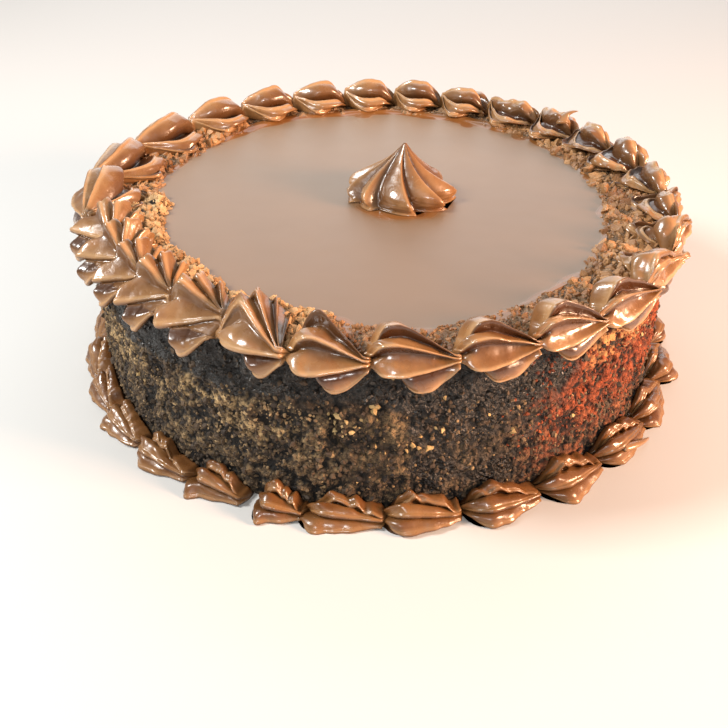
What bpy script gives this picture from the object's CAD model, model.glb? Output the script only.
import math
import random

import bmesh
import bpy
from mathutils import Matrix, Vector, noise


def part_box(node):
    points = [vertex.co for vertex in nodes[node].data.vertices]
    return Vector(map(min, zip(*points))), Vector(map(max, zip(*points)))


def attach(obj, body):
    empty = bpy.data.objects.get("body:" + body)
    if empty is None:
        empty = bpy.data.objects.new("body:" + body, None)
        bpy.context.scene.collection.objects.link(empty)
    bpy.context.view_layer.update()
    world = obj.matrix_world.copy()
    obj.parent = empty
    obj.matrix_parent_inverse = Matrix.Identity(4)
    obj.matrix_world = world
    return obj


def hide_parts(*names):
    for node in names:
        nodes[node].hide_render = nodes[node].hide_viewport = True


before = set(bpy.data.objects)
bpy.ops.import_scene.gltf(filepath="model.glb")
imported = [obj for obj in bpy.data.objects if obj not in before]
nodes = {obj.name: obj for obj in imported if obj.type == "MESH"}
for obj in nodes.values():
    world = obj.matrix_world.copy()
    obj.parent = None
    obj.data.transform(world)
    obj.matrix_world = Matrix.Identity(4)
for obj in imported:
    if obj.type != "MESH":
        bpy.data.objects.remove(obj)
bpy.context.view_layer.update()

cakeLow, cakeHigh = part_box("crumb_cake")
cakeRadius = (cakeHigh[0] - cakeLow[0]) / 2
cakeHeight = cakeHigh[2]
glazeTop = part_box("chocolate_glaze")[1][2]


def blendOf(start, end, share):
    return start + (end - start) * share


def clamp(value, low=0.0, high=1.0):
    return max(low, min(high, value))


def easeOf(value, low, high):
    share = clamp((value - low) / (high - low))
    return share * share * (3 - 2 * share)


def polarPoint(radius, angle, height):
    return (radius * math.cos(angle), radius * math.sin(angle), height)


def arcMask(degrees, first, last, soft):
    # 1 between two directions round the cake, fading out over soft degrees beyond them
    middle = (first + last) / 2
    away = abs((degrees - middle + 180) % 360 - 180)
    return 1 - easeOf(away, (last - first) / 2, (last - first) / 2 + soft)


def putInScene(name, data, place=(0.0, 0.0, 0.0), turn=(0.0, 0.0, 0.0)):
    made = bpy.data.objects.new(name, data)
    made.location = place
    made.rotation_euler = turn
    bpy.context.scene.collection.objects.link(made)
    return made


def addMesh(name, points, faces, material, fields=None):
    mesh = bpy.data.meshes.new(name)
    mesh.from_pydata(points, [], faces)
    shape = bmesh.new()
    shape.from_mesh(mesh)
    bmesh.ops.recalc_face_normals(shape, faces=shape.faces)
    shape.to_mesh(mesh)
    shape.free()
    mesh.shade_smooth()
    mesh.materials.append(material)
    for label, values in (fields or {}).items():
        mesh.attributes.new(label, "FLOAT", "POINT").data.foreach_set("value", values)
    mesh.update()
    return putInScene(name, mesh)


def gridFaces(rings, count):
    # quads between successive closed rings of count points
    return [
        (low + index, low + (index + 1) % count, low + count + (index + 1) % count, low + count + index)
        for low in range(0, (rings - 1) * count, count) for index in range(count)
    ]


def capFaces(rings, count):
    # fans of triangles that close the first and the last ring, from each ring's last point
    return [
        (low + count - 1, low + index, low + index + 1)
        for low in (0, (rings - 1) * count) for index in range(count - 2)
    ]


def rideAs(piece, slot, *replaced):
    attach(piece, "root")
    if replaced:
        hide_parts(*replaced)
    return piece


def addPiped(name, marks, rings, material, *replaced):
    # a closed skin over rings of marks, each a point, its fold and its lip
    points, folds, lips = map(list, zip(*marks))
    count = len(marks) // rings
    faces = gridFaces(rings, count) + capFaces(rings, count)
    return rideAs(addMesh(name, points, faces, material, {"fold": folds, "lip": lips}), "ganache", *replaced)


# shader helpers

def newMaterial(name):
    made = bpy.data.materials.new(name)
    made.use_nodes = True
    made.node_tree.nodes.clear()
    return made, made.node_tree


def feed(socket, value):
    # joins a socket to another, or sets its own value
    if isinstance(value, bpy.types.NodeSocket):
        socket.id_data.links.new(value, socket)
    elif socket.type == "RGBA":
        socket.default_value = (*value, 1.0)
    else:
        socket.default_value = value


def addNode(tree, kind, **values):
    # names in small letters are the node's own settings, the others are its inputs
    node = tree.nodes.new(kind)
    for key, value in values.items():
        if key[0].islower():
            setattr(node, key, value)
    for key, value in values.items():
        if key[0].isupper():
            feed(node.inputs[key.replace("_", " ")], value)
    return node


def mixColour(tree, share, first, second, blendType="MIX"):
    mixer = addNode(tree, "ShaderNodeMix", data_type="RGBA", blend_type=blendType)
    for index, value in ((0, share), (6, first), (7, second)):
        feed(mixer.inputs[index], value)
    return mixer.outputs[2]


def mathNode(tree, operation, first, second, clampIt=False):
    node = addNode(tree, "ShaderNodeMath", operation=operation, use_clamp=clampIt)
    feed(node.inputs[0], first)
    feed(node.inputs[1], second)
    return node.outputs[0]


def times(tree, first, second):
    return mathNode(tree, "MULTIPLY", first, second)


def plus(tree, first, second):
    return mathNode(tree, "ADD", first, second)


def minus(tree, first, second):
    return mathNode(tree, "SUBTRACT", first, second)


def scaleFor(tree, size):
    return mathNode(tree, "DIVIDE", 1.0, size)


def noiseOf(tree, place, scale, detail=3.0, roughness=0.55):
    node = addNode(tree, "ShaderNodeTexNoise", Vector=place, Scale=scale, Detail=detail, Roughness=roughness)
    return node.outputs["Fac"]


def cellsOf(tree, place, scale):
    return addNode(tree, "ShaderNodeTexVoronoi", Vector=place, Scale=scale).outputs["Distance"]


def rangeOf(tree, value, fromLow, fromHigh, toLow=0.0, toHigh=1.0):
    ends = {"From_Min": fromLow, "From_Max": fromHigh, "To_Min": toLow, "To_Max": toHigh}
    return addNode(tree, "ShaderNodeMapRange", Value=value, **ends).outputs["Result"]


def fieldOf(tree, label):
    return addNode(tree, "ShaderNodeAttribute", attribute_name=label).outputs["Fac"]


def placeOf(tree):
    return addNode(tree, "ShaderNodeTexCoord").outputs["Object"]


def newHeightGroup(name, inputs):
    group = bpy.data.node_groups.new(name, "ShaderNodeTree")
    for label, value in inputs.items():
        group.interface.new_socket(label, in_out="INPUT", socket_type="NodeSocketFloat").default_value = value
    group.interface.new_socket("Height", in_out="OUTPUT", socket_type="NodeSocketFloat")
    return group, addNode(group, "NodeGroupInput").outputs


def makeGrainGroup():
    # rounded clumps with finer grain on them, as a height
    group, given = newHeightGroup("crumbGrain", {"Clump Size": 0.002, "Fineness": 4.0})
    place = placeOf(group)
    scale = scaleFor(group, given["Clump Size"])
    grain = noiseOf(group, place, times(group, scale, given["Fineness"]), 3.0, 0.6)
    lump = minus(group, 1.0, cellsOf(group, place, scale))
    height = plus(group, times(group, lump, 0.6), times(group, grain, 0.4))
    addNode(group, "NodeGroupOutput", Height=height)
    return group


def makePipedGroup():
    # the skin of piped cream: slow dents, fine drag and scattered burst bubbles, as a height
    group, given = newHeightGroup("pipedSkin", {"Dent Size": 0.004, "Bubble Size": 0.005})
    place = placeOf(group)
    dentScale = scaleFor(group, given["Dent Size"])
    dents = noiseOf(group, place, dentScale, 2.0, 0.45)
    drag = noiseOf(group, place, times(group, dentScale, 5.0), 2.0, 0.6)
    pit = rangeOf(group, cellsOf(group, place, scaleFor(group, given["Bubble Size"])), 0.05, 0.13, 1.0, 0.0)
    height = plus(group, dents, times(group, drag, 0.16))
    addNode(group, "NodeGroupOutput", Height=minus(group, height, times(group, pit, 0.22)))
    return group


grainGroup = makeGrainGroup()
pipedGroup = makePipedGroup()


def finishMaterial(tree, colour, roughness, height=None, bump=0.3, depth=0.0004, **constants):
    shader = addNode(tree, "ShaderNodeBsdfPrincipled", Base_Color=colour, Roughness=roughness, **constants)
    if height is not None:
        relief = addNode(tree, "ShaderNodeBump", Strength=bump, Distance=depth, Height=height)
        feed(shader.inputs["Normal"], relief.outputs["Normal"])
    addNode(tree, "ShaderNodeOutputMaterial", Surface=shader.outputs["BSDF"])


ganacheLook = {
    "deep": (0.052, 0.017, 0.005),
    "middle": (0.190, 0.080, 0.024),
    "light": (0.310, 0.158, 0.061),
    "lip": (0.430, 0.245, 0.112),
    "roughness": (0.22, 0.40),
    "bump": (0.34, 0.0011),
    "rim": {"shade": (1.0, 1.0, 1.0), "coat": 0.55},
    "foot": {"shade": (0.59, 0.52, 0.44), "coat": 0.26},
}


def makeGanache(name, border):
    material, tree = newMaterial(name)
    skin = addNode(tree, "ShaderNodeGroup", node_tree=pipedGroup, Dent_Size=0.0042, Bubble_Size=0.0046)
    drift = rangeOf(tree, noiseOf(tree, placeOf(tree), 85.0), 0.36, 0.66)
    tone = mixColour(tree, drift, ganacheLook["middle"], ganacheLook["light"])
    tone = mixColour(tree, fieldOf(tree, "lip"), tone, ganacheLook["lip"])
    tone = mixColour(tree, fieldOf(tree, "fold"), tone, ganacheLook["deep"])
    tone = mixColour(tree, 1.0, tone, ganacheLook[border]["shade"], "MULTIPLY")
    rough = rangeOf(tree, noiseOf(tree, placeOf(tree), 260.0, 2.0), 0.3, 0.7, *ganacheLook["roughness"])
    finishMaterial(
        tree, tone, rough, skin.outputs["Height"], *ganacheLook["bump"],
        Coat_Weight=ganacheLook[border]["coat"], Coat_Roughness=0.09,
    )
    return material


glazeLook = {
    "near": (0.151, 0.085, 0.040),
    "far": (0.206, 0.139, 0.087),
    "cloud": 1.09,
    "edge": (0.200, 0.078, 0.020),
    "roughness": (0.46, 0.10),
    "bump": (0.05, 0.0004),
}


def makeGlazeMaterial():
    # paler towards the back, clouded, and darker and glossier where it is wet
    material, tree = newMaterial("setGlaze")
    place = placeOf(tree)
    wet = fieldOf(tree, "wet")
    depth = addNode(tree, "ShaderNodeSeparateXYZ", Vector=place).outputs["Y"]
    depth = mathNode(tree, "POWER", rangeOf(tree, depth, -0.10, 0.10), 1.5)
    tone = mixColour(tree, depth, glazeLook["near"], glazeLook["far"])
    cloud = rangeOf(tree, noiseOf(tree, place, 26.0), 0.35, 0.65, 1.0, glazeLook["cloud"])
    tone = mixColour(tree, 1.0, tone, cloud, "MULTIPLY")
    tone = mixColour(tree, wet, tone, glazeLook["edge"])
    rough = rangeOf(tree, wet, 0.0, 1.0, *glazeLook["roughness"])
    grain = noiseOf(tree, place, 700.0)
    finishMaterial(tree, tone, rough, grain, *glazeLook["bump"], Coat_Weight=0.45, Coat_Roughness=0.42)
    return material


crustLook = {
    "black": (0.016, 0.014, 0.012),
    "dark": (0.034, 0.020, 0.010),
    "brown": (0.150, 0.094, 0.045),
    "tan": (0.500, 0.335, 0.155),
    "rust": (0.315, 0.054, 0.011),
    "golden": (0.560, 0.300, 0.110),
    "glazed": (0.270, 0.150, 0.072),
    "roughness": (0.90, 0.34),
    "bump": (1.0, 0.0019),
}


def makeCrustMaterial():
    # dark baked crumb with tan, rust, golden, glazed and black areas, darker in its hollows
    material, tree = newMaterial("bakedCrust")
    place = placeOf(tree)
    grain = addNode(tree, "ShaderNodeGroup", node_tree=grainGroup, Clump_Size=0.0015, Fineness=2.6)
    speck = noiseOf(tree, place, 720.0, 4.0, 0.72)
    patch = noiseOf(tree, place, 120.0, 4.0, 0.6)
    broad = noiseOf(tree, place, 48.0, 3.0, 0.6)
    glazed = fieldOf(tree, "glazedArea")
    tone = mixColour(tree, rangeOf(tree, speck, 0.45, 0.56), crustLook["dark"], crustLook["brown"])
    tone = mixColour(tree, rangeOf(tree, broad, 0.40, 0.60, 0.75, 0.0), tone, crustLook["dark"])
    tanShare = plus(tree, times(tree, patch, 0.55), times(tree, broad, 0.45))
    tanShare = times(tree, rangeOf(tree, tanShare, 0.42, 0.54), fieldOf(tree, "tanArea"))
    tanShare = times(tree, tanShare, rangeOf(tree, speck, 0.40, 0.54, 0.08, 0.95))
    tone = mixColour(tree, tanShare, tone, crustLook["tan"])
    for colour, area, high in (("rust", "rustArea", 0.54), ("golden", "goldArea", 0.55)):
        share = times(tree, fieldOf(tree, area), rangeOf(tree, speck, 0.30, high, 0.45, 1.0))
        tone = mixColour(tree, share, tone, crustLook[colour])
    tone = mixColour(tree, glazed, tone, crustLook["glazed"])
    inkShare = plus(tree, fieldOf(tree, "inkArea"), rangeOf(tree, broad, 0.35, 0.65, -0.35, 0.35))
    inkShare = rangeOf(tree, inkShare, 0.30, 0.62)
    tone = mixColour(tree, inkShare, tone, crustLook["black"])
    pit = rangeOf(tree, fieldOf(tree, "crag"), 0.26, 0.66, 0.03, 1.25)
    pit = mathNode(tree, "MAXIMUM", pit, times(tree, glazed, 0.60))
    shade = mixColour(tree, 1.0, tone, pit, "MULTIPLY")
    shine = mathNode(tree, "MAXIMUM", inkShare, glazed)
    rough = rangeOf(tree, shine, 0.0, 1.0, *crustLook["roughness"])
    finishMaterial(tree, shade, rough, grain.outputs["Height"], *crustLook["bump"])
    return material


def makeCrumbMaterial(name, first, second, roughness):
    material, tree = newMaterial(name)
    colour = mixColour(tree, fieldOf(tree, "tone"), first, second)
    finishMaterial(tree, colour, roughness, noiseOf(tree, placeOf(tree), 1500.0), 0.6, 0.0005)
    return material


# piped shells

# ridges from a shell's inner side round to its lowest, each with how far its crest stands across the edge
# and up from it, where along the shell it begins and how its face swells
topRule = {
    "ridges": (
        (-0.0160, 0.0010, 0.42, 0.0004), (-0.0118, 0.0036, 0.26, 0.0010), (0.0005, 0.0108, 0.06, 0.0042),
        (0.0062, 0.0076, 0.00, 0.0006), (0.0106, -0.0004, 0.02, -0.0006), (0.0072, -0.0084, 0.27, 0.0026),
    ),
    "fanRidges": (
        (-0.0246, 0.0008, 0.66, 0.0004), (-0.0230, 0.0070, 0.44, 0.0018), (-0.0160, 0.0120, 0.22, 0.0022),
        (-0.0084, 0.0114, 0.08, 0.0020), (0.0036, 0.0022, 0.13, 0.0008), (0.0038, -0.0062, 0.50, 0.0026),
    ),
    # at the back the inner roll is long and stands apart from the arch, with a groove so many times deeper
    "backRidges": (
        (-0.0160, 0.0008, 0.30, 0.0004, 1.0), (-0.0128, 0.0046, 0.08, 0.0016, 2.8),
        (-0.0022, 0.0106, 0.05, 0.0034, 1.2),
    ),
    # in front the arch swells and hides the two ridges inside it
    "hidden": {"across": (-0.0034, -0.0026), "sinks": (0.90, 0.92), "begins": 0.10, "archBulge": 0.0017},
    "deepest": 4,
    "tails": (
        ((0.0060, 0.0030), (0.0060, 0.0004)), ((-0.0085, 0.0032), (0.0008, 0.0006)),
        ((0.0010, 0.0066), (0.0052, -0.0010)),
    ),
    "groove": (0.34, 0.22),
    "stations": 46,
    "lap": 0.018,
    "lumps": 0.00055,
    "ragged": 0.0,
    "overRim": True,
    "shells": 28,
}
baseRule = {
    "ridges": ((0.0036, 0.0120, 0.12, 0.0010), (0.0100, 0.0082, 0.00, 0.0020), (0.0140, 0.0022, 0.05, 0.0016)),
    "tails": (((0.0062, 0.0034), (0.0068, 0.0016)),) * 3,
    "deepest": -1,
    "groove": (0.34, 0.34),
    "stations": 40,
    "lap": 0.012,
    "lumps": 0.00095,
    "ragged": 0.0026,
    "overRim": False,
    "shells": 27,
}
# where round the cake the shells differ, in degrees: first, last and how softly each part fades out
shellArcs = {
    "fans": (192, 252, 16), "insideTails": (190, 238, 12), "hiding": (257, 320, 5),
    "smeared": (335, 410, 25), "behind": (5, 165, 30),
}
baseTips = {2: 0.25, 3: 0.35, 5: 0.95, 6: 0.45, 7: 0.40, 8: 0.15, 9: 0.15, 12: 0.25}
headEnd = 0.18
footShare = 0.75
faceSteps = (0.10, 0.22, 0.34, 0.46, 0.58, 0.69, 0.79, 0.87, 0.93, 0.97)
beadTurns = (-20, 15, 50, 85, 120, 150)
beadSize = 0.00052
grooveSteps = (0.35, 0.75, 1.0)


def spanOf(name, edgeHeight):
    # where a piped shell's solid begins and ends round the cake, and how far it reaches each way
    corners = [corner.co for corner in nodes[name].data.vertices]
    low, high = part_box(name)
    middle = math.atan2((low[1] + high[1]) / 2, (low[0] + high[0]) / 2)
    turns = [(math.atan2(co.y, co.x) - middle + math.pi) % (2 * math.pi) - math.pi for co in corners]
    radii = [math.hypot(co.x, co.y) for co in corners]
    return {
        "start": middle + min(turns),
        "end": middle + max(turns),
        "inwards": cakeRadius - min(radii),
        "outwards": max(radii) - cakeRadius,
        "up": high[2] - edgeHeight,
        "down": edgeHeight - low[2],
    }


def ridgesOf(rule, fan, messy, back, front, rng):
    made = []
    loose = 1 + 2.5 * messy
    for number, pair in enumerate(zip(rule["ridges"], rule.get("fanRidges", rule["ridges"]))):
        across, up, begins, bulge = [blendOf(plain, opened, fan) for plain, opened in zip(*pair)]
        deeper = 1.7 if number == rule["deepest"] else 1.0
        if rule["overRim"] and number < 3:
            changes = zip((across, up, begins, bulge, deeper), rule["backRidges"][number])
            across, up, begins, bulge, deeper = [blendOf(plain, rolled, back) for plain, rolled in changes]
            hidden = rule["hidden"]
            if number < 2:
                across = blendOf(across, hidden["across"][number], front)
                up *= 1 - hidden["sinks"][number] * front
                begins = blendOf(begins, hidden["begins"], front)
            else:
                bulge += hidden["archBulge"] * front
        made.append({
            "across": across + rng.uniform(-0.0005, 0.0005) * loose,
            "up": up + rng.uniform(-0.0004, 0.0004) * loose,
            "begins": max(0.0, begins + rng.uniform(-0.04, 0.04) * loose),
            "bulge": bulge * (1 - 0.5 * messy) + rng.uniform(-0.0003, 0.0003) + 0.0006 * messy,
            "groove": blendOf(*rule["groove"], fan) * rng.uniform(0.85, 1.15) * (1 - 0.30 * messy) * deeper,
            "phase": rng.random() * 50,
            "shade": blendOf(2.2, 0.7, back) if number == 2 else 2.2,
            "peak": blendOf(0.8, 1.2, front) if number == 2 else 0.8,
        })
    return made


def fullnessOf(along, shell, rounder=0.0):
    # how full a shell is at a share of its length: it swells quickly, then draws out to its tail
    fan, behind = shell["fan"], shell["behind"]
    fullest = blendOf(blendOf(0.30, 0.22, fan), 0.44, behind)
    if along < fullest:
        share = along / fullest
        return blendOf(blendOf(blendOf(0.74, 0.56, fan), 0.42, behind), 1.0, math.sqrt(share * (2 - share)))
    falling = blendOf(1.25, 1.05, fan) + 0.75 * behind + rounder
    return max(0.12, 1 - ((min(along, 1.0) - fullest) / (1 - fullest)) ** falling)


def headRise(along, soft):
    # how far the head has risen at a share of the shell's length
    rounding = headEnd * (1 + 0.9 * soft)
    if along >= rounding:
        return 1.0
    return max(blendOf(0.52, 0.12, soft), math.sqrt(1 - (1 - along / rounding) ** 2))


def footOf(across, up):
    # the spot under a mark from which it rises
    return footShare * min(across, 0.0), footShare * min(up, 0.0)


def crestsOf(rule, shell, along, full):
    # how far across the edge and up from it each ridge's crest stands
    last = len(shell["ridges"]) - 1
    size = shell["size"]
    crests = []
    for number, ridge in enumerate(shell["ridges"]):
        tail = shell["tails"][1 if number == last else 0]
        part = fullnessOf(along, shell, 1.2) if number == last and rule["overRim"] else full
        across = ridge["across"] * size["outwards" if ridge["across"] > 0 else "inwards"]
        up = ridge["up"] * size["up" if ridge["up"] > 0 else "down"]
        wander = 0.0008 * math.sin(math.pi * clamp(along)) * noise.noise(Vector((along * 2.2, ridge["phase"], 0.0)))
        ragged = rule["ragged"] * noise.noise(Vector((along * 7.0, ridge["phase"], 4.0))) if number == 0 else 0.0
        crests.append((blendOf(tail[0], across, part) + wander, blendOf(tail[1], up, part) + wander + ragged))
    across, up = crests[last]
    if rule["overRim"]:
        # the lowest ridge is a short rounded lobe
        lobe = blendOf(0.20, 1.0, math.sqrt(math.sin(math.pi * clamp(along, 0.01, 0.99) ** 0.75)))
        up = blendOf(shell["tails"][1][1], up, lobe)
    drawn = max(0.0, 1 - along / 0.34) ** 1.3 * shell["tip"]
    crests[last] = (across * (1 + drawn), up * (1 - 0.6 * min(drawn, 1.0)))
    return crests


def sectionOf(rule, shell, along):
    # marks across a shell at a share of its length: where each begins, how far across and up it stands,
    # its fold, its lip and how softly it rises
    full = fullnessOf(along, shell)
    ridges, soft = shell["ridges"], shell["soft"]
    last = len(ridges) - 1
    crests = crestsOf(rule, shell, along, full)
    inner = (min(0.96 * crests[0][0], -0.0008), 0.0) if rule["overRim"] else (0.0, 1.04 * crests[0][1])
    before = (ridges[0]["begins"], *inner)
    marks = [(*before, 0.8, 0.0, soft)]
    dim = 1 - 0.45 * soft * (1 - shell["behind"])
    bead = beadSize * (0.45 + 0.55 * full) * (1 + 1.5 * soft)
    for number, (ridge, crest) in enumerate(zip(ridges, crests)):
        across, up = crest
        run = across - before[1]
        climb = up - before[2]
        length = max(math.hypot(run, climb), 0.0001)
        lowest = number == last and rule["overRim"]
        rises = 1.0 if lowest else soft
        for step in faceSteps:
            swell = ridge["bulge"] * full * math.sin(math.pi * step ** blendOf(ridge["peak"], 1.35, soft)) / length
            fold = (0.95 if number > 1 else 0.45) * dim * (1 - step) ** ridge["shade"]
            if lowest:
                fold = 0.95 * (1 - easeOf(step, 0.44, 0.94))
            marks.append((
                blendOf(before[0], ridge["begins"], easeOf(step, 0.0, 0.5)) + 0.07 * easeOf(step, 0.55, 1.1) ** 1.5,
                before[1] + step * run - swell * climb,
                before[2] + step * climb + swell * run,
                fold,
                0.75 * easeOf(step, 0.84, 1.0),
                rises,
            ))
        # a rounded lip that overhangs the groove beyond it
        ahead = (run / length, climb / length)
        inside = (climb / length, -run / length)
        for turn in beadTurns:
            forward = bead * (math.sin(math.radians(turn)) + 0.2)
            under = bead * (1 - math.cos(math.radians(turn)))
            marks.append((
                ridge["begins"] + 0.065 + 0.02 * easeOf(turn, 0, 150),
                across + forward * ahead[0] + under * inside[0],
                up + forward * ahead[1] + under * inside[1],
                0.9 * dim * easeOf(turn, 40, 130),
                0.9 * (1 - easeOf(turn, 30, 100)),
                rises,
            ))
        if number == last:
            outer = (-0.0010, min(1.03 * up, 0.0) - 0.0003) if rule["overRim"] else (0.94 * across, -0.0004)
            marks.append((ridge["begins"], *outer, 0.9, 0.0, soft))
            break
        foot = footOf(across, up)
        beyond = blendOf(0.08, 0.20, shell["fan"]) if number < last - 1 else 0.08
        beyond = blendOf(beyond, 0.42, shell["behind"]) if number == 1 else beyond
        valley = [
            blendOf(crest[side], foot[side], ridge["groove"]) + beyond * (crests[number + 1][side] - crest[side])
            for side in (0, 1)
        ]
        if number == last - 1 and valley[0] < 0.0006 and rule["overRim"]:
            valley = [0.0006, 0.4 * valley[1]]
        begins = 0.5 * (ridge["begins"] + ridges[number + 1]["begins"]) + 0.12
        edge = marks[-1]
        for share in grooveSteps:
            groove = [blendOf(start, end, share) for start, end in zip(edge, (begins, *valley))]
            marks.append((*groove, dim, 0.0, soft))
        before = (begins, *valley)
    return marks


def mixTails(first, second, share):
    return [[blendOf(start, end, share) for start, end in zip(*pair)] for pair in zip(first, second)]


def fitShell(rule, shell, span):
    # sizes the ridges to the solid, which was rounded with fewer marks
    marks = sectionOf(rule, shell, 0.28)
    far, high = [[mark[side] for mark in marks] for side in (1, 2)]
    reach = {"inwards": -min(far), "outwards": max(far), "up": max(high), "down": -min(high)}
    shell["size"] = {
        side: clamp(span[side] / reach[side], 0.2, 1.6) if reach[side] > 0.002 else 1.0 for side in reach
    }


def pipeShell(name, rule, edgeHeight, material, seed, tip=0.0):
    rng = random.Random(seed)
    span = spanOf(name, edgeHeight)
    start, end = span["start"] - rule["lap"], span["end"]
    degrees = math.degrees(0.5 * (start + end)) % 360
    overRim = rule["overRim"]
    fan = arcMask(degrees, *shellArcs["fans"]) if overRim else 0.0
    messy = arcMask(degrees, *shellArcs["smeared"]) * (1.0 if overRim else 0.2)
    behind = arcMask(degrees, *shellArcs["behind"])
    plainTail, insideTail, backTail = rule["tails"]
    plainTail = mixTails(plainTail, backTail, max(0.0, math.sin(math.radians(degrees))))
    shell = {
        "ridges": ridgesOf(rule, fan, messy, behind, arcMask(degrees, *shellArcs["hiding"]), rng),
        "tails": mixTails(plainTail, insideTail, arcMask(degrees, *shellArcs["insideTails"])),
        "fan": fan,
        "behind": behind if overRim else 0.0,
        "soft": max(fan, 0.8 * messy, 0.6 * behind) if overRim else 0.65,
        "tip": 0.0,
        "size": dict.fromkeys(("inwards", "outwards", "up", "down"), 1.0),
    }
    slump = messy if overRim else 0.0
    fitShell(rule, shell, {
        **span,
        "outwards": span["outwards"] / (1 + 0.30 * tip) * (1 - 0.38 * slump),
        "up": span["up"] * (1 - 0.22 * slump),
        "down": span["down"] * (1 - 0.20 * fan),
    })
    shell["tip"] = tip
    shell["ridges"][-1]["begins"] -= 0.22 * min(tip, 0.5)
    shift = Vector((seed * 0.37, seed * 0.11, seed * 0.73))
    count = rule["stations"]
    marks = []
    for station in range(count):
        along = (station / (count - 1)) ** 1.5 * 1.05
        sinking = 1 - easeOf(along, 0.985, 1.05) * 0.75
        close = easeOf(along, 0.80, 1.0) * 0.35
        for begins, across, up, fold, lip, soft in sectionOf(rule, shell, along):
            rise = headRise(along, soft)
            foot = footOf(across, up)
            far = blendOf(foot[0], across, rise * sinking)
            high = blendOf(foot[1], up, rise * sinking)
            place = blendOf(start, end, blendOf(begins, 1.0, along))
            spot = Vector(polarPoint(cakeRadius + far, place, edgeHeight + high))
            lump = noise.noise(spot * 200 + shift) * (rule["lumps"] + 0.0017 * messy)
            lump += noise.noise(spot * 620 + shift) * 0.00013
            away = math.hypot(far - foot[0], high - foot[1]) + 0.0005
            far += lump * (far - foot[0]) / away
            high += lump * (high - foot[1]) / away
            if high < 0.0 and far < 0.0 and not overRim:
                far = 0.0
            point = polarPoint(cakeRadius + 0.0003 + far, place, max(edgeHeight + high, 0.0))
            marks.append((point, clamp(fold * (1 - close)), lip))
        core = polarPoint(cakeRadius - 0.0015, blendOf(start, end, along), max(edgeHeight - 0.0020, 0.0))
        marks.append((core, 1.0, 0.0))
    return addPiped(name.replace("_", "") + "Piped", marks, count, material, name)


# centre star

starShape = {
    "centre": (0.008, 0.005),
    "radius": 0.0222,
    "lean": (0.002, 0.001),
    "crests": (8, 52, 96, 134, 170, 205, 236, 296, 334),
    "swell": (1.06, 0.95, 0.92, 0.97, 1.04, 0.98, 0.86, 0.90, 1.04),
    "twist": math.radians(44),
    "groove": 0.38,
    "slope": ((0.0, 0.92), (0.04, 0.94), (0.09, 0.99), (0.16, 1.0), (0.24, 0.94), (0.34, 0.80), (0.45, 0.62),
              (0.57, 0.44), (0.70, 0.28), (0.82, 0.155), (0.92, 0.07), (0.985, 0.02)),
    "levels": 56,
}


def slopeAt(slope, rise):
    for (low, first), (high, second) in zip(slope, slope[1:]):
        if rise <= high:
            return blendOf(first, second, clamp((rise - low) / (high - low)))
    return slope[-1][1]


def pipeStar(material):
    low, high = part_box("centre_star")
    foot, tall = low[2], high[2] - low[2]
    crests = starShape["crests"]
    rng = random.Random(5)
    bellies = [rng.uniform(0.9, 1.5) for _ in crests]
    steps = [(0.0, 0.0, 0.5), (0.02, 0.05, 0.3), (0.05, 0.45, 0.0), (0.085, 0.85, 0.0), (0.12, 1.0, 0.0)]
    steps += [(0.12 + 0.88 * step, (1 - step), 0.5 * easeOf(step, 0.9, 1.0)) for step in faceSteps[:-1]]
    marks = []
    levels = starShape["levels"]
    for level in range(levels):
        rise = max(0.0, (level - 2) / (levels - 3)) ** 1.1 * 0.985
        girth = slopeAt(starShape["slope"], rise)
        middle = [centre + lean * rise for centre, lean in zip(starShape["centre"], starShape["lean"])]
        skirt, height = 0.0, foot + tall * rise
        if level < 2:
            # two low rings that spread where the star sits on the glaze
            skirt, height = ((0.0016, foot - 0.0004), (0.0005, foot + 0.0001))[level]
        for number, crest in enumerate(crests):
            after = (number + 1) % len(crests)
            gap = (crests[after] - crest) % 360
            for step, depth, lip in steps:
                sunk = depth if step <= 0.12 else depth ** bellies[number]
                swell = blendOf(starShape["swell"][number], starShape["swell"][after], easeOf(step, 0.12, 1.0))
                swell = blendOf(swell, 1.0, rise)
                curl = math.radians(7) * (1 - rise) ** 6
                turn = math.radians(crest + gap * step) - starShape["twist"] * rise ** 0.7 - curl
                hollow = sunk * starShape["groove"] * (1 - 0.40 * rise) * (0.55 + 0.45 * easeOf(rise, 0.0, 0.16))
                reach = starShape["radius"] * girth * swell * (1 - hollow) + skirt
                spot = Vector(polarPoint(reach, turn, height))
                reach += noise.noise(spot * 240) * 0.0004 * (1 - rise)
                point = (middle[0] + reach * math.cos(turn), middle[1] + reach * math.sin(turn), height)
                marks.append((point, 0.9 * sunk ** 1.5, lip))
    return addPiped("pipedStar", marks, levels, material, "centre_star")


# wisps drawn out by the piping tip

wispShapes = (
    {"path": ((40.0, 0.1110, 0.0700), (41.5, 0.1140, 0.0745), (38.5, 0.1175, 0.0755)), "thick": 0.0030},
    {"path": ((317.0, 0.1230, 0.0045), (320.0, 0.1275, 0.0050), (324.5, 0.1265, 0.0010)), "thick": 0.0022},
)


def drawWisp(number, wisp, material, rings=14, sides=10):
    ends = [Vector(polarPoint(radius, math.radians(degrees), height)) for degrees, radius, height in wisp["path"]]
    marks = []
    for ring in range(rings):
        share = ring / (rings - 1)
        middle = ends[0] * (1 - share) ** 2 + ends[1] * 2 * share * (1 - share) + ends[2] * share ** 2
        ahead = ((ends[1] - ends[0]) * (1 - share) + (ends[2] - ends[1]) * share).normalized()
        side = ahead.cross(Vector((0, 0, 1))).normalized()
        over = side.cross(ahead)
        thick = wisp["thick"] * (1 - share) ** 0.7 + 0.0001
        for index in range(sides):
            turn = 2 * math.pi * index / sides
            marks.append((middle + side * math.cos(turn) * thick + over * math.sin(turn) * thick * 0.6, 0.1, 0.2))
    return addPiped(f"wisp{number}", marks, rings, material)


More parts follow.
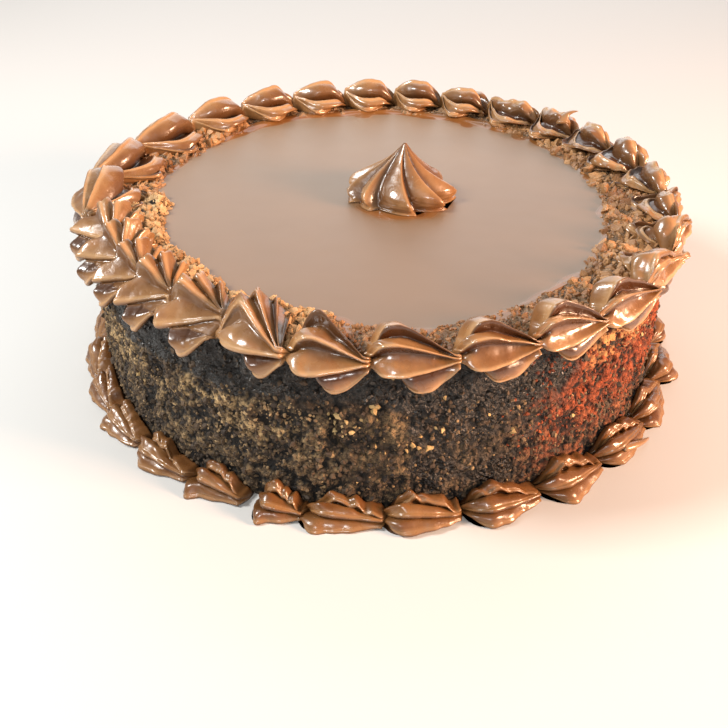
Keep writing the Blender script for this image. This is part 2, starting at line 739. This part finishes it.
# glaze

glazeShape = {
    "segments": 400, "rings": 96, "under": 0.0024, "backUnder": 0.0050, "ripple": 0.00010, "drop": 0.0003,
    "climb": (0.0002, 0.0009), "backClimb": (0.0011, 0.0011), "thick": 0.0028,
}
# wet puddles: the direction, how far out and how wide
puddles = (
    (408.0, 0.100, 0.0060), (65.0, 0.0980, 0.0050), (262.0, 0.0950, 0.0055), (250.0, 0.0960, 0.0040),
    (95.0, 0.1030, 0.0060),
)


def readGlazeEdge(count=64):
    # the furthest the glaze's solid reaches in each of count directions
    widest = [0.0] * count
    for corner in nodes["chocolate_glaze"].data.vertices:
        key = round(math.atan2(corner.co.y, corner.co.x) / (2 * math.pi) * count) % count
        widest[key] = max(widest[key], math.hypot(corner.co.x, corner.co.y))
    return widest


glazeReach = readGlazeEdge()


def glazeEdgeAt(angle):
    place = (angle / (2 * math.pi)) % 1.0 * len(glazeReach)
    index = int(place)
    edge = blendOf(glazeReach[index % len(glazeReach)], glazeReach[(index + 1) % len(glazeReach)], place - index)
    spot = Vector(polarPoint(edge, angle, 0.0))
    return edge + noise.noise(spot * 110) * 0.0009 + noise.noise(spot * 300) * 0.0004


def pourGlaze(material):
    segments, rings = glazeShape["segments"], glazeShape["rings"]
    level = glazeTop - glazeShape["drop"]
    star = Vector((*starShape["centre"], 0.0))
    edges = []
    for segment in range(segments):
        angle = 2 * math.pi * segment / segments
        back = arcMask(math.degrees(angle), 62, 128, 14)
        shore = max(back, 1.9 * arcMask(math.degrees(angle), 257, 292, 9))
        edges.append((angle, glazeEdgeAt(angle), blendOf(glazeShape["under"], glazeShape["backUnder"], shore), back))
    points = []
    wet = []
    for ring in range(rings):
        share = 1 - (1 - ring / (rings - 1)) ** 1.35
        for angle, edge, under, back in edges:
            radius = max((edge + under) * share, 0.0008)
            spot = Vector(polarPoint(radius, angle, 0.0))
            inland = edge + 0.3 * under - radius
            swell = glazeShape["ripple"] * (noise.noise(spot * 24) * 2 + noise.noise(spot * 120) * 0.5)
            climbs, fades = glazeShape["backClimb"] if back > 0.3 else glazeShape["climb"]
            climb = climbs * math.exp(-max(inland, 0.0) / fades)
            pool = noise.noise(spot * 70 + Vector((3.0, 0.0, 0.0)))
            damp = easeOf(0.0012 + 0.0026 * back + 0.0035 * pool - inland, 0.0, 0.0014)
            for degrees, far, wide in puddles:
                away = (spot - Vector(polarPoint(far, math.radians(degrees), 0.0))).length
                damp = max(damp, 1 - easeOf(away + 0.003 * pool, wide * 0.6, wide))
            fromStar = spot - star
            bearing = math.degrees(math.atan2(fromStar.y, fromStar.x))
            front = arcMask(bearing, 225, 300, 30)
            nearStar = 1 - easeOf(fromStar.length + 0.0025 * pool, 0.0195, 0.0215 + 0.0025 * front)
            damp = max(damp, nearStar * (0.35 + 0.65 * front))
            wet.append(clamp(damp))
            points.append(polarPoint(radius, angle, level + swell + climb))
    # the outermost ring again, lower down
    points += [(x, y, level - glazeShape["thick"]) for x, y, _ in points[-segments:]]
    wet += [1.0] * segments
    faces = gridFaces(rings + 1, segments)
    faces += [tuple(range(segments)), tuple(range(rings * segments, (rings + 1) * segments))]
    return rideAs(addMesh("pouredGlaze", points, faces, material, {"wet": wet}), "glaze", "chocolate_glaze")


# crust

crustShape = {
    "wallSegments": 1180,
    "wallRows": 78,
    "rimSegments": 900,
    "rimRows": 40,
    "inset": 0.0009,
    "relief": {
        "Crag Depth": 0.0017, "Clump Depth": 0.0022, "Lump Depth": 0.0010,
        "Crag Size": 0.0120, "Clump Size": 0.0052, "Lump Size": 0.0019,
    },
}
blackArc = (222, 294, 16)
crustAreas = ("tanArea", "rustArea", "goldArea", "inkArea", "glazedArea")
# cracks and holes in the wall: their path as direction and height, how wide and how deep
scars = (
    (((262.6, 0.0415), (263.6, 0.0360), (262.4, 0.0325), (264.4, 0.0275)), 0.0009, 0.0032),
    (((264.4, 0.0275), (268.0, 0.0255)), 0.0008, 0.0024),
    (((307.6, 0.0352), (308.6, 0.0346)), 0.0019, 0.0036),
    (((289.0, 0.0240), (289.6, 0.0236)), 0.0014, 0.0026),
    (((226.5, 0.0300), (228.5, 0.0375)), 0.0030, 0.0016),
    (((95.0, 0.0300), (97.0, 0.0340)), 0.0014, 0.0028),
    (((20.0, 0.0400), (24.0, 0.0380)), 0.0011, 0.0026),
    (((152.0, 0.0260), (154.0, 0.0300)), 0.0013, 0.0028),
)


def newSurfaceTree(name, inputs):
    # a geometry tree with named inputs
    tree = bpy.data.node_groups.new(name, "GeometryNodeTree")
    for label, kind in {"Geometry": "Geometry", **inputs, "Material": "Material"}.items():
        tree.interface.new_socket(label, in_out="INPUT", socket_type="NodeSocket" + kind)
    tree.interface.new_socket("Geometry", in_out="OUTPUT", socket_type="NodeSocketGeometry")
    return tree, addNode(tree, "NodeGroupInput").outputs


def finishTree(tree, geometry, given):
    real = addNode(tree, "GeometryNodeRealizeInstances", Geometry=geometry).outputs["Geometry"]
    paint = addNode(tree, "GeometryNodeSetMaterial", Geometry=real, Material=given["Material"])
    addNode(tree, "NodeGroupOutput", Geometry=paint.outputs["Geometry"])
    return tree


def namedField(tree, label):
    node = addNode(tree, "GeometryNodeInputNamedAttribute", Name=label)
    return node.outputs["Attribute"]


def scaledVector(tree, vector, scale):
    node = addNode(tree, "ShaderNodeVectorMath", operation="SCALE", Vector=vector, Scale=scale)
    return node.outputs["Vector"]


def makeCrustTree():
    # pushes the crust's surface in and out along its normal: broad crags, then crumb-sized lumps
    tree, given = newSurfaceTree("crustRelief", dict.fromkeys(crustShape["relief"], "Float"))
    place = addNode(tree, "GeometryNodeInputPosition").outputs[0]
    normal = addNode(tree, "GeometryNodeInputNormal").outputs[0]
    cragScale, clumpScale, lumpScale = [
        scaleFor(tree, given[label]) for label in ("Crag Size", "Clump Size", "Lump Size")
    ]
    crag = times(tree, minus(tree, noiseOf(tree, place, cragScale, 2.0, 0.5), 0.5), 2.0)
    clump = minus(tree, 0.50, cellsOf(tree, place, clumpScale))
    lump = minus(tree, 0.50, cellsOf(tree, place, lumpScale))
    warp = minus(tree, noiseOf(tree, place, lumpScale, 3.0, 0.6), 0.5)
    lump = plus(tree, lump, times(tree, warp, 1.3))
    high = plus(tree, times(tree, crag, given["Crag Depth"]), times(tree, clump, given["Clump Depth"]))
    high = plus(tree, high, times(tree, lump, given["Lump Depth"]))
    push = scaledVector(tree, normal, times(tree, high, namedField(tree, "relief")))
    # how high each spot stands among its neighbours, which the material darkens by
    cavity = plus(tree, times(tree, lump, 0.60), times(tree, clump, 0.55))
    cavity = plus(tree, cavity, times(tree, crag, 0.35))
    cavity = mathNode(tree, "ADD", cavity, 0.42, True)
    store = addNode(
        tree, "GeometryNodeStoreNamedAttribute", Name="crag", Geometry=given["Geometry"], Value=cavity,
    )
    move = addNode(tree, "GeometryNodeSetPosition", Geometry=store.outputs["Geometry"], Offset=push)
    return finishTree(tree, move.outputs["Geometry"], given)


def applyTree(thing, tree, values, name):
    # runs a node tree on an object, once, and returns the result as a plain mesh object
    modifier = thing.modifiers.new(tree.name, "NODES")
    modifier.node_group = tree
    for label, value in values.items():
        modifier[tree.interface.items_tree[label].identifier] = value
    bpy.context.view_layer.update()
    evaluated = thing.evaluated_get(bpy.context.evaluated_depsgraph_get())
    mesh = bpy.data.meshes.new_from_object(evaluated)
    mesh.name = name
    thing.modifiers.remove(modifier)
    return putInScene(name, mesh)


def scarDepth(degrees, height):
    # how deep the cracks and holes in the wall are at a spot
    depth = 0.0
    for path, wide, deep in scars:
        if abs((degrees - path[0][0] + 180) % 360 - 180) > 9:
            continue
        spot = Vector((math.radians(degrees) * cakeRadius, height))
        for low, high in zip(path, path[1:]):
            begin = Vector((math.radians(low[0]) * cakeRadius, low[1]))
            along = Vector((math.radians(high[0]) * cakeRadius, high[1])) - begin
            share = clamp((spot - begin).dot(along) / along.length_squared)
            away = (spot - begin - along * share).length
            depth = max(depth, deep * math.exp(-(away / wide) ** 2))
    return depth


def shapeCrust(name, segments, profileAt, material, tree, closed):
    # lofts the profiles round the cake, then lets the node tree roughen them
    profiles = [profileAt(2 * math.pi * segment / segments) for segment in range(segments)]
    rows = len(profiles[0])
    points = []
    fields = {label: [] for label in ("relief", "crumbs", *crustAreas)}
    for row in range(rows):
        for segment, profile in enumerate(profiles):
            angle = 2 * math.pi * segment / segments
            radius, height, relief, areas = profile[row]
            points.append(polarPoint(radius, angle, height))
            fields["relief"].append(relief)
            fields["crumbs"].append(relief)
            for label in crustAreas:
                fields[label].append(areas.get(label, 0.0))
    faces = gridFaces(rows, segments)
    if closed:
        faces.append(tuple(range(segments)))
        faces.append(tuple(range((rows - 1) * segments, rows * segments)))
    rough = addMesh(name + "Form", points, faces, material, fields)
    made = applyTree(rough, tree, {**crustShape["relief"], "Material": material}, name)
    bpy.data.objects.remove(rough, do_unlink=True)
    print(name, len(made.data.polygons), "faces")
    return rideAs(made, "crumb", "crumb_cake")


def rustMask(degrees):
    # the redder part of the wall, which fades slowly towards the back
    return arcMask(degrees, 305, 400, 15) * arcMask(degrees, 250, 336, 50)


def wallAt(angle):
    # from the middle of the underside out, up the wall, over its rounded shoulder and in below the rim
    degrees = math.degrees(angle)
    wall = cakeRadius - crustShape["inset"]
    side = easeOf(degrees, 205, 265)
    tanArc, goldArc = arcMask(degrees, 190, 254, 24), arcMask(degrees, 311, 324, 5)
    ink, inkPatch = arcMask(degrees, *blackArc), 0.38 * arcMask(degrees, 278, 296, 10)
    rows = [(0.001, 0.0, 0.0, {}), (wall - 0.004, 0.0, 0.0, {})]
    for row in range(crustShape["wallRows"] + 1):
        height = cakeHeight * row / crustShape["wallRows"]
        relief = easeOf(height, 0.0, 0.003)
        shoulder = 0.0012 * easeOf(height, cakeHeight - 0.003, cakeHeight)
        band = math.exp(-((height - blendOf(0.041, 0.034, side)) / blendOf(0.019, 0.012, side)) ** 2)
        rows.append((wall - shoulder - scarDepth(degrees, height), height - 0.3 * shoulder, relief, {
            "tanArea": 0.20 + 0.80 * tanArc * band,
            "goldArea": 0.8 * goldArc * easeOf(height, 0.038, 0.050),
            "rustArea": 0.9 * rustMask(degrees) * (0.45 + 0.55 * easeOf(height, 0.012, 0.034)),
            "inkArea": ink * easeOf(height, 0.038, 0.050) + 0.35 * easeOf(height, 0.050, 0.060) + inkPatch,
        }))
    rows.append((wall - 0.006, cakeHeight - 0.004, 0.0, {}))
    return rows


def rimAt(angle):
    # over the rim from the wall's shoulder to below the glaze
    degrees = math.degrees(angle)
    golden = arcMask(degrees, 184, 256, 12)
    spill = golden * (0.0058 + 0.0030 * noise.noise(Vector(polarPoint(9.0, angle, 0.0))))
    edge = glazeEdgeAt(angle) - spill
    glazed = (1 - golden) * 0.9
    rows = []
    shore = edge + 0.0016
    for row in range(crustShape["rimRows"] + 1):
        share = row / crustShape["rimRows"]
        radius = blendOf(cakeRadius - crustShape["inset"] - 0.0012, edge - 0.0030, share)
        sink = easeOf(shore - radius, -0.0010, 0.0050)
        spot = Vector(polarPoint(radius, angle, 0.0))
        mound = (0.5 + noise.noise(spot * 130)) * (0.0005 + 0.0044 * golden) * easeOf(radius - edge, 0.0000, 0.0040)
        mound *= 1 - golden * easeOf(radius, 0.0960, 0.1040)
        level = blendOf(cakeHeight - 0.0006, glazeTop + 0.0004, golden * (1 - easeOf(radius - edge, 0.0070, 0.0090)))
        height = level - 0.0040 * sink + mound * easeOf(share, 0.0, 0.12)
        rows.append((radius, height, easeOf(share, 0.0, 0.06) * (1 - 0.5 * sink), {
            "tanArea": 0.6, "goldArea": golden * 0.9, "glazedArea": glazed,
        }))
    return rows


def randomOf(tree, dataType, **values):
    return addNode(tree, "FunctionNodeRandomValue", data_type=dataType, **values).outputs


def makeScatterTree():
    # small angular crumbs strewn over a surface, as thick as its own crumb attribute says
    tree, given = newSurfaceTree(
        "crumbScatter", {"Density": "Float", "Smallest": "Float", "Largest": "Float", "Seed": "Int"}
    )
    place = addNode(tree, "GeometryNodeInputPosition").outputs[0]
    strew = addNode(
        tree, "GeometryNodeDistributePointsOnFaces", Mesh=given["Geometry"],
        Density=times(tree, namedField(tree, "crumbs"), given["Density"]), Seed=given["Seed"],
    )
    swell = times(tree, minus(tree, noiseOf(tree, place, 1.7, 1.0, 0.5), 0.45), 1.8)
    pebble = addNode(tree, "GeometryNodeMeshIcoSphere", Radius=0.5).outputs["Mesh"]
    dented = addNode(tree, "GeometryNodeSetPosition", Geometry=pebble, Offset=scaledVector(tree, place, swell))
    turnSeed, sizeSeed, squeezeSeed = [plus(tree, given["Seed"], offset) for offset in (17.0, 34.0, 51.0)]
    turn = randomOf(tree, "FLOAT_VECTOR", Max=(6.283, 6.283, 6.283), Seed=turnSeed)[0]
    squeeze = randomOf(tree, "FLOAT_VECTOR", Min=(0.7, 0.6, 0.45), Max=(1.3, 1.1, 0.9), Seed=squeezeSeed)[0]
    many = mathNode(tree, "POWER", randomOf(tree, "FLOAT", Seed=sizeSeed)[1], 2.2)
    wide = times(tree, many, minus(tree, given["Largest"], given["Smallest"]))
    wide = plus(tree, given["Smallest"], wide)
    strewn = addNode(
        tree, "GeometryNodeInstanceOnPoints", Points=strew.outputs["Points"], Instance=dented.outputs["Geometry"],
        Rotation=turn, Scale=scaledVector(tree, squeeze, wide),
    )
    patchy = times(tree, minus(tree, noiseOf(tree, place, 75.0, 3.0, 0.5), 0.5), 2.6)
    shade = plus(tree, times(tree, randomOf(tree, "FLOAT")[1], 0.6), 0.18)
    store = addNode(
        tree, "GeometryNodeStoreNamedAttribute", domain="INSTANCE", Name="tone",
        Geometry=strewn.outputs["Instances"], Value=mathNode(tree, "ADD", shade, patchy, True),
    )
    return finishTree(tree, store.outputs["Geometry"], given)


# each kind of crumb: what it lies on, how many to the square metre, its smallest and largest width,
# its seed, its darkest and palest colours and its roughness
crumbKinds = {
    "darkCrumbs": ("wall", 170000.0, 0.0006, 0.0027, 3, (0.012, 0.008, 0.006), (0.085, 0.052, 0.026), 0.75),
    "inkCrumbs": ("wall", 190000.0, 0.0007, 0.0024, 4, (0.008, 0.007, 0.006), (0.040, 0.033, 0.026), 0.30),
    "brownCrumbs": ("wall", 170000.0, 0.0005, 0.0019, 5, (0.045, 0.028, 0.014), (0.210, 0.135, 0.068), 0.85),
    "tanCrumbs": ("wall", 420000.0, 0.0005, 0.0016, 8, (0.150, 0.094, 0.044), (0.400, 0.270, 0.135), 0.9),
    "rustCrumbs": ("wall", 300000.0, 0.0005, 0.0020, 7, (0.085, 0.018, 0.007), (0.300, 0.062, 0.015), 0.85),
    "paleFlecks": ("wall", 70000.0, 0.0010, 0.0028, 9, (0.360, 0.230, 0.090), (0.600, 0.420, 0.190), 0.8),
    "goldenCrumbs": ("rim", 520000.0, 0.0009, 0.0034, 12, (0.280, 0.140, 0.052), (0.610, 0.400, 0.200), 0.75),
    "rimCrumbs": ("rim", 330000.0, 0.0010, 0.0050, 15, (0.190, 0.080, 0.026), (0.430, 0.225, 0.090), 0.42),
    "wetCrumbs": ("rim", 380000.0, 0.0009, 0.0028, 18, (0.130, 0.048, 0.013), (0.380, 0.175, 0.062), 0.42),
}


def crumbShare(name, spot):
    degrees = math.degrees(math.atan2(spot[1], spot[0])) % 360
    golden = arcMask(degrees, 184, 256, 10)
    front = arcMask(degrees, 266, 312, 10)
    ink = arcMask(degrees, *blackArc) * easeOf(spot[2] + 0.006 * noise.noise(spot * 60), 0.040, 0.048)
    rusty = rustMask(degrees) * easeOf(spot[2] + 0.016 * noise.noise(spot * 45), 0.004, 0.026)
    if name == "rustCrumbs":
        return rusty
    if name == "darkCrumbs":
        return (1 - 0.7 * ink) * (1 - 0.85 * rusty)
    if name == "inkCrumbs":
        return ink
    if name == "brownCrumbs":
        return (1 - 0.95 * ink) * (1 - 0.7 * rusty) * (0.25 + 0.75 * easeOf(noise.noise(spot * 75), -0.2, 0.3))
    if name == "tanCrumbs":
        band = math.exp(-((spot[2] - 0.036) / 0.012) ** 2)
        cluster = easeOf(noise.noise(spot * 55) + 0.4 * noise.noise(spot * 140), -0.12, 0.26)
        return (1 - ink) * cluster * (0.12 + 0.88 * band * arcMask(degrees, 192, 256, 24))
    if name == "paleFlecks":
        band = math.exp(-((spot[2] - 0.037) / 0.010) ** 2)
        return 0.006 + band * arcMask(degrees, 263, 285, 5) * easeOf(noise.noise(spot * 120), 0.05, 0.3)
    if spot[2] < glazeTop - 0.0020:
        return 0.0
    back = arcMask(degrees, 66, 124, 10)
    if name == "goldenCrumbs":
        return golden
    return (1 - golden) * (1 - back) * (front if name == "wetCrumbs" else 1 - front)


def strewCrumbs(bases):
    tree = makeScatterTree()
    for name, (place, density, smallest, largest, seed, dark, pale, roughness) in crumbKinds.items():
        base = bases[place]
        mesh = base.data
        relief = [0.0] * len(mesh.vertices)
        mesh.attributes["relief"].data.foreach_get("value", relief)
        # none so low that they would stick out below the underside
        shares = [
            crumbShare(name, vertex.co) * amount * easeOf(vertex.co[2], 0.0018, 0.0034)
            for vertex, amount in zip(mesh.vertices, relief)
        ]
        mesh.attributes["crumbs"].data.foreach_set("value", shares)
        material = makeCrumbMaterial(name + "Finish", dark, pale, roughness)
        given = {"Density": density, "Smallest": smallest, "Largest": largest, "Seed": seed, "Material": material}
        made = applyTree(base, tree, given, name)
        rideAs(made, "crumb")
        print(name, len(made.data.polygons), "faces")


# stage

cameraSettings = {"place": (0.0, -0.339, 0.219), "tiltDown": 34.95, "turn": 1.07, "lens": 44.55}
lightSettings = {
    "key": {"place": (-0.72, -0.12, 0.72), "size": 0.24, "power": 11.8, "colour": (1.0, 0.985, 0.955)},
    "back": {"place": (0.05, 1.15, 0.75), "size": 1.5, "power": 11.5, "colour": (0.98, 0.99, 1.0)},
    "warm": {"place": (0.80, -0.30, 0.30), "size": 0.26, "power": 20.0, "colour": (1.0, 0.60, 0.38)},
    "fill": {"place": (-0.10, -0.85, 0.55), "size": 0.16, "power": 3.2, "colour": (1.0, 1.0, 1.0)},
}
roomLook = {"colour": (0.95, 0.95, 0.94), "strength": 0.33, "floor": (0.55, 0.545, 0.53), "size": 3.0}


def setStage():
    camera = bpy.data.cameras.new("viewCamera")
    camera.lens = cameraSettings["lens"]
    camera.clip_start = 0.01
    turn = (math.radians(90 - cameraSettings["tiltDown"]), 0.0, math.radians(cameraSettings["turn"]))
    bpy.context.scene.camera = putInScene("viewCamera", camera, cameraSettings["place"], turn)
    for name, light in lightSettings.items():
        lamp = bpy.data.lights.new(name, "AREA")
        lamp.energy = light["power"]
        lamp.size = light["size"]
        lamp.color = light["colour"]
        aim = Vector((0.0, 0.0, cakeHeight)) - Vector(light["place"])
        putInScene(name, lamp, light["place"], aim.to_track_quat("-Z", "Y").to_euler())
    room = bpy.data.worlds.new("softRoom")
    room.use_nodes = True
    glow = room.node_tree.nodes["Background"]
    feed(glow.inputs["Color"], roomLook["colour"])
    feed(glow.inputs["Strength"], roomLook["strength"])
    bpy.context.scene.world = room
    material, tree = newMaterial("paleFloor")
    finishMaterial(tree, roomLook["floor"], 0.7)
    size = roomLook["size"]
    corners = [(-size, -size, 0), (size, -size, 0), (size, size, 0), (-size, size, 0)]
    floor = addMesh("floor", corners, [(0, 1, 2, 3)], material)
    bpy.context.scene.view_settings.view_transform = "Standard"


def main():
    setStage()
    ganache = makeGanache("pipedGanache", "rim")
    lowGanache = makeGanache("pipedGanacheLow", "foot")
    for number in range(1, topRule["shells"] + 1):
        pipeShell(f"top_shell_{number:02d}", topRule, cakeHeight, ganache, number)
    print("top border piped")
    for number in range(1, baseRule["shells"] + 1):
        pipeShell(f"base_shell_{number:02d}", baseRule, 0.0, lowGanache, 100 + number, baseTips.get(number, 0.0))
    print("base border piped")
    pipeStar(ganache)
    for number, wisp in enumerate(wispShapes, 1):
        drawWisp(number, wisp, ganache)
    pourGlaze(makeGlazeMaterial())
    print("star, wisps and glaze done")
    crust = makeCrustMaterial()
    relief = makeCrustTree()
    wall = shapeCrust("crustWall", crustShape["wallSegments"], wallAt, crust, relief, True)
    rim = shapeCrust("crustRim", crustShape["rimSegments"], rimAt, crust, relief, False)
    strewCrumbs({"wall": wall, "rim": rim})


main()
